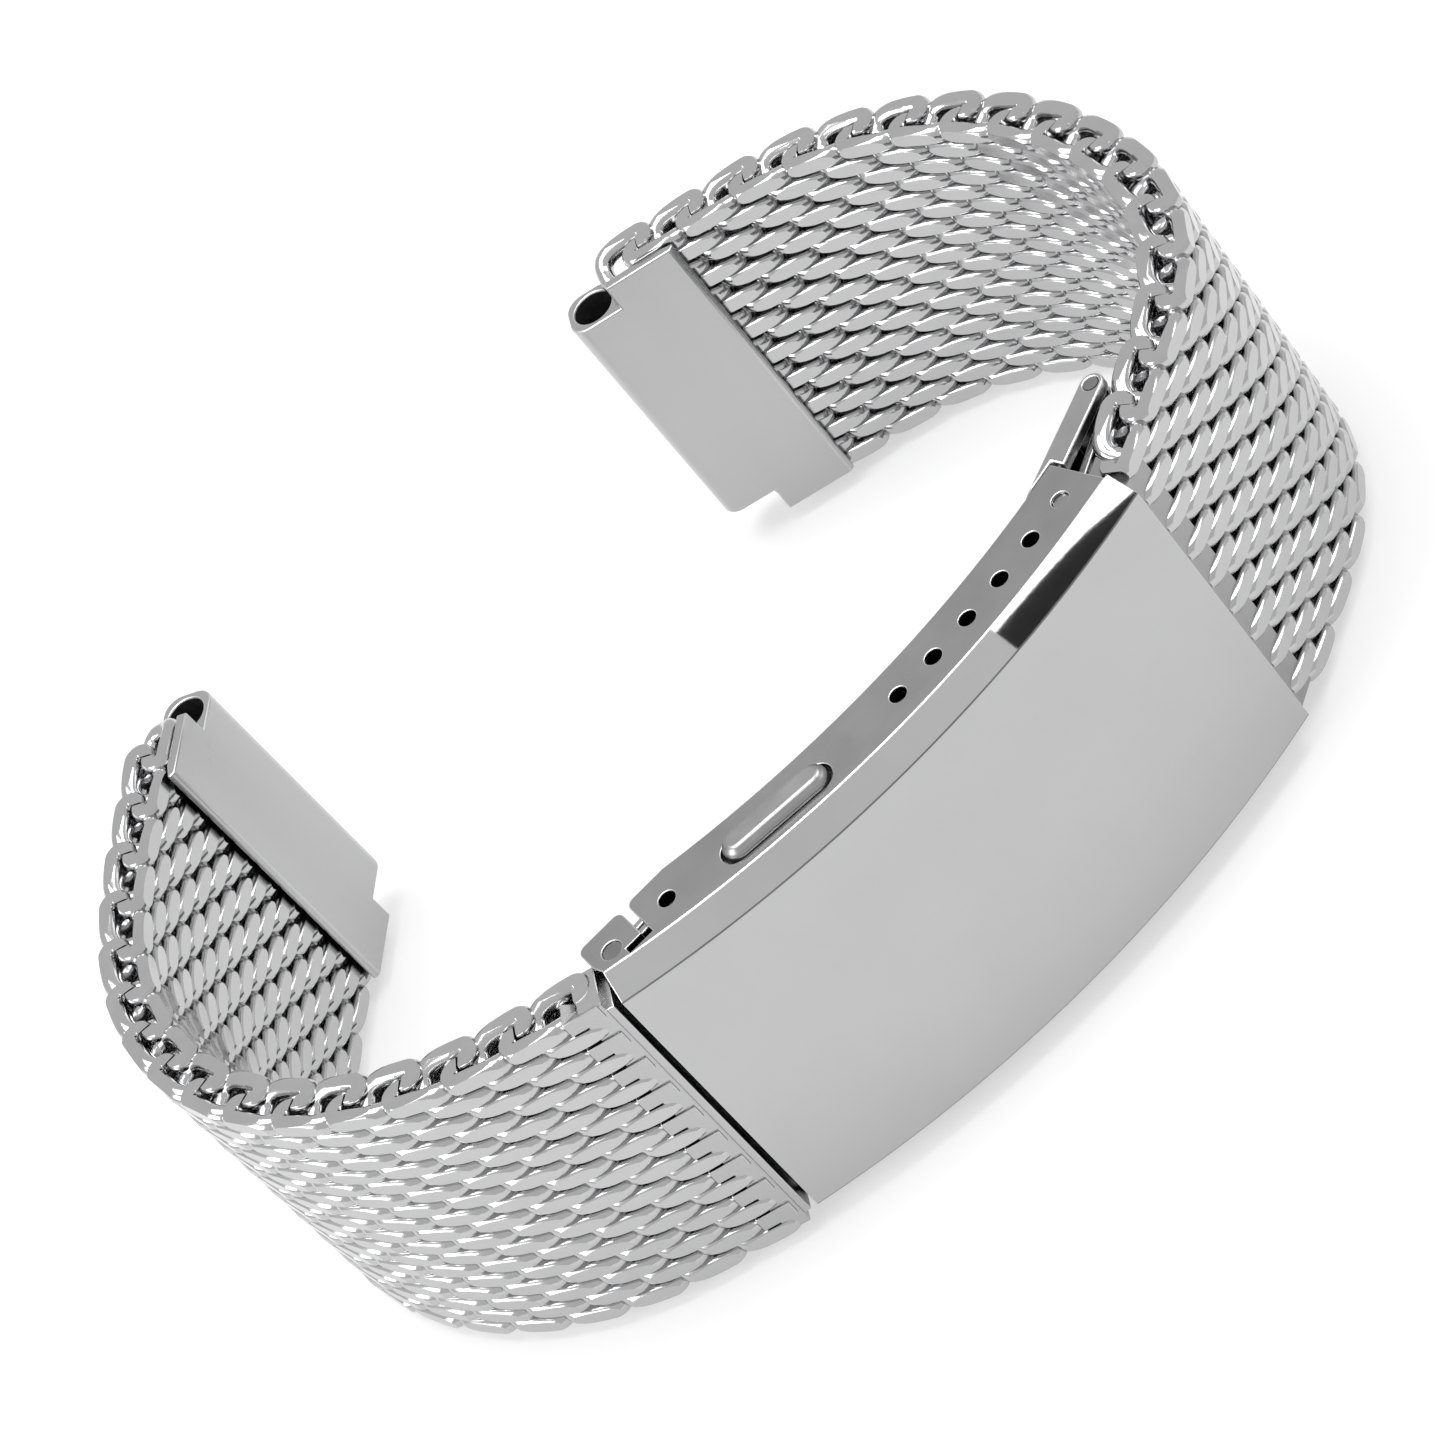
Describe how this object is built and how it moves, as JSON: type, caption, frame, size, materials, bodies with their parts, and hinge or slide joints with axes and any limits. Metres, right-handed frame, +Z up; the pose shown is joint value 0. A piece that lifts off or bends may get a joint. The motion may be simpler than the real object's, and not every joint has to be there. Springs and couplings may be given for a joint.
{
  "type": "woven mesh bracelet",
  "caption": "Heavy woven steel mesh bracelet with a folding push-button clasp, adjustment holes and two bored end pieces for lug spring bars, closed and lying on its edge",
  "frame": {"origin": "centre of the bounding box in plan, on the surface the bracelet lies on", "axes": "+Z up along the wrist axis and across the band, +X from the clasp hinge end to the adjustment end, +Y from the clasp towards the end pieces"},
  "size_m": [0.076, 0.0535, 0.0239],
  "materials": {
    "mesh_wire": "bright drawn steel wire, flats polished, hollows dark",
    "polished_cover": "mirror polished with fine handling marks",
    "brushed_plate": "brushed across the band",
    "button_steel": "polished with softened edges",
    "blade_steel": "fine satin",
    "pin_steel": "turned end faces",
    "spring_steel": "drawn"
  },
  "bodies": {
    "cover": {"cover": "polished_cover", "hinge_pin": "pin_steel", "button_block": "blade_steel", "button_spring_near": "spring_steel", "button_spring_far": "spring_steel", "spring_bar_tube": "spring_steel", "spring_bar_tips": "spring_steel", "spring_bar_spring": "spring_steel"},
    "button_near": {"button_near": "button_steel"},
    "button_far": {"button_far": "button_steel"},
    "upper_blade": {"upper_blade": "blade_steel", "catch_post": "blade_steel", "arm_rivet": "pin_steel"},
    "lower_blade": {"lower_blade": "blade_steel", "end_bar_b": "brushed_plate", "coil_b_01": "mesh_wire"},
    "link": {"link_plate_a": "blade_steel", "coil_a_00": "mesh_wire"},
    "mesh_a_01": {"coil_pair_a_01": "mesh_wire"},
    "mesh_a_02": {"coil_pair_a_02": "mesh_wire"},
    "mesh_a_03": {"coil_pair_a_03": "mesh_wire"},
    "mesh_a_04": {"coil_pair_a_04": "mesh_wire"},
    "mesh_a_05": {"coil_pair_a_05": "mesh_wire"},
    "mesh_a_06": {"coil_pair_a_06": "mesh_wire"},
    "mesh_a_07": {"coil_pair_a_07": "mesh_wire"},
    "mesh_a_08": {"coil_pair_a_08": "mesh_wire"},
    "mesh_a_09": {"coil_pair_a_09": "mesh_wire"},
    "mesh_a_10": {"coil_pair_a_10": "mesh_wire"},
    "mesh_a_11": {"coil_pair_a_11": "mesh_wire"},
    "mesh_a_12": {"coil_pair_a_12": "mesh_wire"},
    "mesh_a_13": {"coil_pair_a_13": "mesh_wire"},
    "mesh_a_14": {"coil_pair_a_14": "mesh_wire"},
    "mesh_a_15": {"coil_pair_a_15": "mesh_wire"},
    "mesh_a_16": {"coil_pair_a_16": "mesh_wire", "end_piece_a": "brushed_plate"},
    "mesh_b_01": {"coil_pair_b_01": "mesh_wire"},
    "mesh_b_02": {"coil_pair_b_02": "mesh_wire"},
    "mesh_b_03": {"coil_pair_b_03": "mesh_wire"},
    "mesh_b_04": {"coil_pair_b_04": "mesh_wire"},
    "mesh_b_05": {"coil_pair_b_05": "mesh_wire"},
    "mesh_b_06": {"coil_pair_b_06": "mesh_wire"},
    "mesh_b_07": {"coil_pair_b_07": "mesh_wire"},
    "mesh_b_08": {"coil_pair_b_08": "mesh_wire"},
    "mesh_b_09": {"coil_pair_b_09": "mesh_wire"},
    "mesh_b_10": {"coil_pair_b_10": "mesh_wire"},
    "mesh_b_11": {"coil_pair_b_11": "mesh_wire"},
    "mesh_b_12": {"coil_pair_b_12": "mesh_wire"},
    "mesh_b_13": {"coil_pair_b_13": "mesh_wire"},
    "mesh_b_14": {"coil_pair_b_14": "mesh_wire"},
    "mesh_b_15": {"coil_pair_b_15": "mesh_wire", "end_piece_b": "brushed_plate"}
  },
  "joints": [
    {"name": "clasp_fold", "type": "hinge", "parent": "cover", "child": "upper_blade", "pos_m": [-0.01494, -0.0216, 0.01195], "axis": [0, 0, 1], "range_deg": [0, 150]},
    {"name": "blade_fold", "type": "hinge", "parent": "upper_blade", "child": "lower_blade", "pos_m": [0.02482, -0.01607, 0.01195], "axis": [0, 0, -1], "range_deg": [0, 150]},
    {"name": "press_near", "type": "slide", "parent": "cover", "child": "button_near", "axis": [0, 0, -1], "range_m": [0, 0.0008], "stiffness_N_per_m": 250, "springref_m": -0.0004, "deforming": ["button_spring_near"]},
    {"name": "press_far", "type": "slide", "parent": "cover", "child": "button_far", "axis": [0, 0, 1], "range_m": [0, 0.0008], "stiffness_N_per_m": 250, "springref_m": -0.0004, "deforming": ["button_spring_far"]},
    {"name": "link_swing", "type": "hinge", "parent": "cover", "child": "link", "pos_m": [0.01869, -0.02118, 0.01195], "axis": [0, 0, 1], "range_deg": [-8, 0]},
    {"name": "curl_a_01", "type": "hinge", "parent": "link", "child": "mesh_a_01", "pos_m": [0.02347, -0.02009, 0.01195], "axis": [0, 0, 1], "range_deg": [-2, 0]},
    {"name": "curl_a_02", "type": "hinge", "parent": "mesh_a_01", "child": "mesh_a_02", "pos_m": [0.02658, -0.01791, 0.01195], "axis": [0, 0, 1], "range_deg": [-2, 0]},
    {"name": "curl_a_03", "type": "hinge", "parent": "mesh_a_02", "child": "mesh_a_03", "pos_m": [0.02966, -0.01569, 0.01195], "axis": [0, 0, 1], "range_deg": [-6.4, 3]},
    {"name": "curl_a_04", "type": "hinge", "parent": "mesh_a_03", "child": "mesh_a_04", "pos_m": [0.03237, -0.01304, 0.01195], "axis": [0, 0, 1], "range_deg": [-6.4, 3]},
    {"name": "curl_a_05", "type": "hinge", "parent": "mesh_a_04", "child": "mesh_a_05", "pos_m": [0.03443, -0.00986, 0.01195], "axis": [0, 0, 1], "range_deg": [-6.4, 3]},
    {"name": "curl_a_06", "type": "hinge", "parent": "mesh_a_05", "child": "mesh_a_06", "pos_m": [0.03576, -0.00631, 0.01195], "axis": [0, 0, 1], "range_deg": [-6.4, 3]},
    {"name": "curl_a_07", "type": "hinge", "parent": "mesh_a_06", "child": "mesh_a_07", "pos_m": [0.03631, -0.00256, 0.01195], "axis": [0, 0, 1], "range_deg": [-4.4, 3]},
    {"name": "curl_a_08", "type": "hinge", "parent": "mesh_a_07", "child": "mesh_a_08", "pos_m": [0.03624, 0.00124, 0.01195], "axis": [0, 0, 1], "range_deg": [-4.4, 3]},
    {"name": "curl_a_09", "type": "hinge", "parent": "mesh_a_08", "child": "mesh_a_09", "pos_m": [0.03565, 0.00498, 0.01195], "axis": [0, 0, 1], "range_deg": [-4.4, 3]},
    {"name": "curl_a_10", "type": "hinge", "parent": "mesh_a_09", "child": "mesh_a_10", "pos_m": [0.03449, 0.0086, 0.01195], "axis": [0, 0, 1], "range_deg": [-4.4, 3]},
    {"name": "curl_a_11", "type": "hinge", "parent": "mesh_a_10", "child": "mesh_a_11", "pos_m": [0.03278, 0.01199, 0.01195], "axis": [0, 0, 1], "range_deg": [-4.4, 3]},
    {"name": "curl_a_12", "type": "hinge", "parent": "mesh_a_11", "child": "mesh_a_12", "pos_m": [0.0306, 0.01509, 0.01195], "axis": [0, 0, 1], "range_deg": [-4.4, 3]},
    {"name": "curl_a_13", "type": "hinge", "parent": "mesh_a_12", "child": "mesh_a_13", "pos_m": [0.02798, 0.01784, 0.01195], "axis": [0, 0, 1], "range_deg": [-5.8, 3]},
    {"name": "curl_a_14", "type": "hinge", "parent": "mesh_a_13", "child": "mesh_a_14", "pos_m": [0.02492, 0.02007, 0.01195], "axis": [0, 0, 1], "range_deg": [-5.8, 3]},
    {"name": "curl_a_15", "type": "hinge", "parent": "mesh_a_14", "child": "mesh_a_15", "pos_m": [0.02149, 0.0217, 0.01195], "axis": [0, 0, 1], "range_deg": [-2.9, 1.5]},
    {"name": "curl_a_16", "type": "hinge", "parent": "mesh_a_15", "child": "mesh_a_16", "pos_m": [0.01796, 0.02311, 0.01195], "axis": [0, 0, 1], "range_deg": [-2.9, 1.5]},
    {"name": "curl_b_01", "type": "hinge", "parent": "lower_blade", "child": "mesh_b_01", "pos_m": [-0.01988, -0.02098, 0.01195], "axis": [0, 0, -1], "range_deg": [-2.3, 1.2]},
    {"name": "curl_b_02", "type": "hinge", "parent": "mesh_b_01", "child": "mesh_b_02", "pos_m": [-0.02323, -0.01955, 0.01195], "axis": [0, 0, -1], "range_deg": [-4.6, 2.4]},
    {"name": "curl_b_03", "type": "hinge", "parent": "mesh_b_02", "child": "mesh_b_03", "pos_m": [-0.02641, -0.01779, 0.01195], "axis": [0, 0, -1], "range_deg": [-4.6, 2.4]},
    {"name": "curl_b_04", "type": "hinge", "parent": "mesh_b_03", "child": "mesh_b_04", "pos_m": [-0.02927, -0.01555, 0.01195], "axis": [0, 0, -1], "range_deg": [-4.6, 2.4]},
    {"name": "curl_b_05", "type": "hinge", "parent": "mesh_b_04", "child": "mesh_b_05", "pos_m": [-0.03176, -0.0129, 0.01195], "axis": [0, 0, -1], "range_deg": [-4.6, 2.4]},
    {"name": "curl_b_06", "type": "hinge", "parent": "mesh_b_05", "child": "mesh_b_06", "pos_m": [-0.03379, -0.00989, 0.01195], "axis": [0, 0, -1], "range_deg": [-4.6, 2.4]},
    {"name": "curl_b_07", "type": "hinge", "parent": "mesh_b_06", "child": "mesh_b_07", "pos_m": [-0.03527, -0.00657, 0.01195], "axis": [0, 0, -1], "range_deg": [-4.8, 2.4]},
    {"name": "curl_b_08", "type": "hinge", "parent": "mesh_b_07", "child": "mesh_b_08", "pos_m": [-0.03611, -0.00304, 0.01195], "axis": [0, 0, -1], "range_deg": [-4.8, 2.4]},
    {"name": "curl_b_09", "type": "hinge", "parent": "mesh_b_08", "child": "mesh_b_09", "pos_m": [-0.03634, 0.00059, 0.01195], "axis": [0, 0, -1], "range_deg": [-4.8, 2.4]},
    {"name": "curl_b_10", "type": "hinge", "parent": "mesh_b_09", "child": "mesh_b_10", "pos_m": [-0.03598, 0.0042, 0.01195], "axis": [0, 0, -1], "range_deg": [-4.8, 2.4]},
    {"name": "curl_b_11", "type": "hinge", "parent": "mesh_b_10", "child": "mesh_b_11", "pos_m": [-0.03502, 0.00771, 0.01195], "axis": [0, 0, -1], "range_deg": [-4.8, 2.4]},
    {"name": "curl_b_12", "type": "hinge", "parent": "mesh_b_11", "child": "mesh_b_12", "pos_m": [-0.0335, 0.01101, 0.01195], "axis": [0, 0, -1], "range_deg": [-3, 2.4]},
    {"name": "curl_b_13", "type": "hinge", "parent": "mesh_b_12", "child": "mesh_b_13", "pos_m": [-0.03159, 0.01411, 0.01195], "axis": [0, 0, -1], "range_deg": [-3, 2.4]},
    {"name": "curl_b_14", "type": "hinge", "parent": "mesh_b_13", "child": "mesh_b_14", "pos_m": [-0.0294, 0.01701, 0.01195], "axis": [0, 0, -1], "range_deg": [-1.5, 1.2]},
    {"name": "curl_b_15", "type": "hinge", "parent": "mesh_b_14", "child": "mesh_b_15", "pos_m": [-0.0271, 0.01983, 0.01195], "axis": [0, 0, -1], "range_deg": [-1.5, 1.2]}
  ],
  "couplings": [
    {"joint": "blade_fold", "follows": "clasp_fold", "ratio": 1},
    {"joint": "curl_a_02", "follows": "curl_a_01", "ratio": 1},
    {"joint": "curl_a_04", "follows": "curl_a_03", "ratio": 1},
    {"joint": "curl_a_05", "follows": "curl_a_03", "ratio": 1},
    {"joint": "curl_a_06", "follows": "curl_a_03", "ratio": 1},
    {"joint": "curl_a_08", "follows": "curl_a_07", "ratio": 1},
    {"joint": "curl_a_09", "follows": "curl_a_07", "ratio": 1},
    {"joint": "curl_a_10", "follows": "curl_a_07", "ratio": 1},
    {"joint": "curl_a_11", "follows": "curl_a_07", "ratio": 1},
    {"joint": "curl_a_12", "follows": "curl_a_07", "ratio": 1},
    {"joint": "curl_a_14", "follows": "curl_a_13", "ratio": 1},
    {"joint": "curl_a_15", "follows": "curl_a_13", "ratio": 0.5},
    {"joint": "curl_a_16", "follows": "curl_a_13", "ratio": 0.5},
    {"joint": "curl_b_02", "follows": "curl_b_01", "ratio": 2},
    {"joint": "curl_b_03", "follows": "curl_b_01", "ratio": 2},
    {"joint": "curl_b_04", "follows": "curl_b_01", "ratio": 2},
    {"joint": "curl_b_05", "follows": "curl_b_01", "ratio": 2},
    {"joint": "curl_b_06", "follows": "curl_b_01", "ratio": 2},
    {"joint": "curl_b_08", "follows": "curl_b_07", "ratio": 1},
    {"joint": "curl_b_09", "follows": "curl_b_07", "ratio": 1},
    {"joint": "curl_b_10", "follows": "curl_b_07", "ratio": 1},
    {"joint": "curl_b_11", "follows": "curl_b_07", "ratio": 1},
    {"joint": "curl_b_13", "follows": "curl_b_12", "ratio": 1},
    {"joint": "curl_b_14", "follows": "curl_b_12", "ratio": 0.5},
    {"joint": "curl_b_15", "follows": "curl_b_12", "ratio": 0.5}
  ]
}
